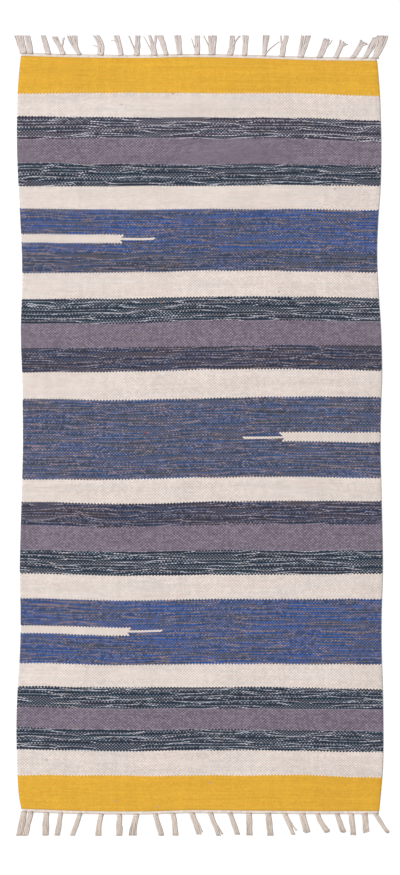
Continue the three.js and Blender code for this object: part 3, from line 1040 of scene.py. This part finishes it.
def by_stripe(tree, number, values):
    """A ramp with one level step for each stripe, read in the step's middle."""
    middle = maths(tree, "ADD", number, 0.5)
    node = new_node(tree, "ValToRGB", maths(tree, "DIVIDE", middle, float(len(values))))
    ramp = node.color_ramp
    ramp.interpolation = "CONSTANT"
    ramp.elements.remove(ramp.elements[1])
    for i, value in enumerate(values):
        stop = ramp.elements[0] if i == 0 else ramp.elements.new(i / len(values))
        stop.color = (*value[:3], value[3] if len(value) > 3 else 1)
    return node.outputs


def bar_mask(tree, bead):
    """1 on the beads of the bars laid in and of their thin lines, 0 elsewhere.

    A bar holds the picks from its first to its last, and the warps on its own side of the notch, which
    opens by NOTCH_SLOPE warps with each pick from the thin line's middle. The line is what two picks show
    within LINE_HALF picks of that middle, and runs further.
    """
    warp, pick = bead["Warp"], bead["Pick"]
    mask = 0.0
    for start, top, picks, above, notch, line_end in BARS:
        notch_warp, first = warp_and_pick(notch, top)
        line_warp, _ = warp_and_pick(line_end, top)
        first = round(first)
        way = 1 if start == "left" else -1
        outward = times(tree, warp, float(way))
        from_middle = apart(tree, pick, first + (picks - 1) / 2)
        within = maths(tree, "LESS_THAN", from_middle, picks / 2)
        from_line = maths(tree, "SUBTRACT", pick, first + above + 0.5)
        picks_off = maths(tree, "ABSOLUTE", from_line)
        edge = maths(tree, "MULTIPLY_ADD", picks_off, NOTCH_SLOPE, notch_warp * way)
        body = times(tree, within, maths(tree, "LESS_THAN", outward, edge))
        point_off = maths(tree, "ABSOLUTE", maths(tree, "ADD", from_line, bead["Off"]))
        thin = maths(tree, "LESS_THAN", point_off, LINE_HALF)
        of_two = maths(tree, "LESS_THAN", picks_off, 1.0)
        line = times(tree, thin, of_two, maths(tree, "LESS_THAN", outward, line_warp * way))
        mask = maths(tree, "MAXIMUM", mask, maths(tree, "MAXIMUM", body, line))
    return mask


def yarn_colours(tree, marl, bead, luck):
    """The strand that shows on a bead of its stripe's yarn, with how deep the yarn's painted shade in the
    dips is and its grain.
    """
    names = [name for name, _ in STRIPES]
    number = stripe_number(tree, bead["Pick"])
    ramps = [by_stripe(tree, number, [COLOURS[name][i] for name in names]) for i in range(3)]
    ground, third, second = (ramp[0] for ramp in ramps)
    habits, grain = by_stripe(tree, number, [HABITS[name][0] for name in names])
    width, softness, painted_dip_shade = split(tree, habits)
    moves, _ = by_stripe(tree, number, [HABITS[name][1] for name in names])
    jump, own, shared = split(tree, moves)
    given = {name: bead[name] for name in ("Warp", "Pick", "Off")}
    given |= {"Luck": luck, "Width": width, "Softness": softness}
    strands = placed(tree, marl, **given, Jump=jump, Own=own, Shared=shared)
    ground = blended(tree, strands["Third strand"], ground, third)
    heather = blended(tree, strands["Tint"], *STRAND_TINTS)
    second = blended(tree, 1.0, second, heather, "MULTIPLY")
    return blended(tree, strands["Second strand"], ground, second), painted_dip_shade, grain


def flecked(tree, colour, bead, luck, grain):
    """Brown flecks on a few beads, more in an uneven yarn, and the one red fleck."""
    rare = maths(tree, "LESS_THAN", luck, times(tree, grain, FLECKS))
    colour = blended(tree, times(tree, rare, FLECK_SHARE), colour, FLECK_COLOUR)
    red_warp, red_pick = warp_and_pick(*RED_FLECK)
    off = maths(tree, "ADD", apart(tree, bead["Warp"], red_warp), apart(tree, bead["Pick"], red_pick))
    caught = maths(tree, "LESS_THAN", off, 1.0)
    return blended(tree, times(tree, caught, RED_SHARE), colour, RED)


def striped_cotton(beads, marl, fibres):
    """The woven sheet: each bead takes its stripe's yarn, the strand that shows there and its own chance,
    with painted shade in the dips between beads.
    """
    material, tree, inputs = new_material("striped cotton", CLOTH_SHEEN)
    bead = placed(tree, beads, Thread=thread_map(tree, "weave"))
    thread = joined(tree, bead["Warp"], bead["Pick"])
    luck = chance(tree, "2D", thread)
    colour, painted_dip_shade, grain = yarn_colours(tree, marl, bead, luck)
    colour = flecked(tree, colour, bead, luck, grain)

    bars = bar_mask(tree, bead)
    cream, _, darker_cream = COLOURS["cream"]
    _, _, cream_painted_dip_shade, cream_grain = HABITS["cream"][0]
    laid_in = blended(tree, luck, (*cream, 1), (*darker_cream, 1))
    colour = blended(tree, bars, colour, laid_in)
    painted_dip_shade = stretched(tree, bars, 0, 1, painted_dip_shade, cream_painted_dip_shade)
    grain = stretched(tree, bars, 0, 1, grain, cream_grain)

    soft = placed(tree, fibres, Place=object_place(tree))
    # painted shade: each bead's colour darkens towards the dips between beads, by the yarn's own amount
    painted_valley_shade = times(tree, painted_dip_shade, maths(tree, "SUBTRACT", 1.0, bead["Height"]))
    tone_and_painted_shade = maths(tree, "SUBTRACT", 1.0, painted_valley_shade)
    warp_streak = noise(tree, "2D", scaled(tree, thread, *WARP_STREAK), detail=2.0)
    weft_streak = noise(tree, "2D", scaled(tree, thread, *WEFT_STREAK), detail=2.0)
    for value, depth in (
        (warp_streak, WARP_STREAK_DEPTH),
        (weft_streak, WEFT_STREAK_DEPTH),
        (soft["Cloud"], CLOUD_DEPTH),
    ):
        tone_and_painted_shade = times(tree, tone_and_painted_shade, stretched(tree, value, *NOISE_SPAN, 1 - depth, 1 + depth))
    unlike = times(tree, grain, stretched(tree, luck, 0, 1, -1, 1))
    tone_and_painted_shade = times(tree, tone_and_painted_shade, maths(tree, "ADD", unlike, 1.0))
    tree.links.new(shaded(tree, colour, tone_and_painted_shade), inputs["Base Color"])
    tree.links.new(stretched(tree, bead["Height"], 0.0, 1.0, *CLOTH_ROUGHNESS), inputs["Roughness"])
    height = maths(tree, "ADD", bead["Height"], times(tree, soft["Fibres"], CLOTH_FUZZ))
    bumped(tree, inputs, height, BEAD_BUMP)
    return material


def undyed_cotton(name, light, painted_groove_shade, depth, painted_flank_shade, twist, fibres):
    """Undyed plied yarn, with painted shade between its plies and down its flanks, and its light colour on
    its rounds.
    """
    material, tree, inputs = new_material(name, YARN_SHEEN)
    yarn = placed(tree, twist, Thread=thread_map(tree, "thread"))
    soft = placed(tree, fibres, Place=object_place(tree))
    # painted shade: the colour goes to the darker one in the grooves between the plies
    clear_of_painted_shade = stretched(tree, yarn["Height"], 0.0, PLY_LIGHT)
    colour = blended(tree, clear_of_painted_shade, (*painted_groove_shade, 1), (*light, 1))
    # painted shade down the yarn's sides, times cloudy and per-yarn tone
    tone_and_painted_shade = times(
        tree,
        stretched(tree, soft["Cloud"], *CLOUD_SPAN, *CLOUD_LIGHT),
        stretched(tree, yarn["Yarn"], 0, 1, *YARN_LIGHT),
        stretched(tree, yarn["Upward"], *PAINTED_FLANK_SHADE_SPAN, painted_flank_shade, 1),
    )
    tree.links.new(shaded(tree, colour, tone_and_painted_shade), inputs["Base Color"])
    tree.links.new(stretched(tree, soft["Fibres"], *FIBRE_SPAN, *YARN_ROUGHNESS), inputs["Roughness"])
    height = maths(tree, "ADD", yarn["Height"], times(tree, soft["Fibres"], YARN_FUZZ))
    bumped(tree, inputs, height, depth)
    return material


def pale_floor():
    """A plain pale floor under the rug."""
    corners = FLOOR_HALF * np.array([(-1, -1, 0), (1, -1, 0), (1, 1, 0), (-1, 1, 0)], float)
    material = bpy.data.materials.new("pale floor")
    material.use_nodes = True
    tree = material.node_tree
    inputs = tree.nodes["Principled BSDF"].inputs
    inputs["Specular IOR Level"].default_value = FLOOR_GLOSS
    grain = noise(tree, "3D", object_place(tree), FLOOR_GRAIN, 2.0)
    tree.links.new(blended(tree, grain, *FLOOR_COLOURS), inputs["Base Color"])
    tree.links.new(stretched(tree, grain, 0, 1, *FLOOR_ROUGHNESS), inputs["Roughness"])
    part = shown(corners, np.array([[0, 1, 2, 3]]), np.zeros((1, 4, 2)), 0)
    make_piece("floor", [part], "floor", [material])


def fringe(name, side, tassels, strays, looks):
    """The heading, its edge cord, the knots and all the strands of one end, as one piece."""
    tassels = np.array(tassels, float)
    near = left_edge(end_line(side, ACROSS[0])) + CORNER_CLEARANCE
    far = right_edge(end_line(side, ACROSS[-1])) - CORNER_CLEARANCE
    roots = np.clip(tassels[:, 0], near, far)
    parts = heading_parts(side) + edge_cord_parts(side) + knot_parts(side, roots, tassels[:, 3])
    return make_piece(name, parts + strand_parts(side, roots, tassels, strays), "thread", looks)


def finish_piece(piece, node):
    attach(piece, "root")
    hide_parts(node)


look_straight_down()
studio_light()
pale_floor()

beads, marl, twist, fibres = bead_group(), marl_group(), ply_group(), fibre_group()
cloth = make_piece("cloth", cloth_parts(), "weave", [striped_cotton(beads, marl, fibres)])
finish_piece(cloth, "rug_body")

undyed = {name: undyed_cotton(name, *look, twist, fibres) for name, look in UNDYED.items()}
heading_looks = [undyed[name] for name in ("heading", "edge cord", "knot turn, painted shade")]
top_looks = [undyed["top warp ends"], *heading_looks]
top_fringe = fringe("top_fringe", 1, TOP_TASSELS, TOP_STRAYS, top_looks)
finish_piece(top_fringe, "fringe_top")
bottom_looks = [undyed["bottom warp ends"], *heading_looks]
bottom_fringe = fringe("bottom_fringe", -1, BOTTOM_TASSELS, BOTTOM_STRAYS, bottom_looks)
finish_piece(bottom_fringe, "fringe_bottom")
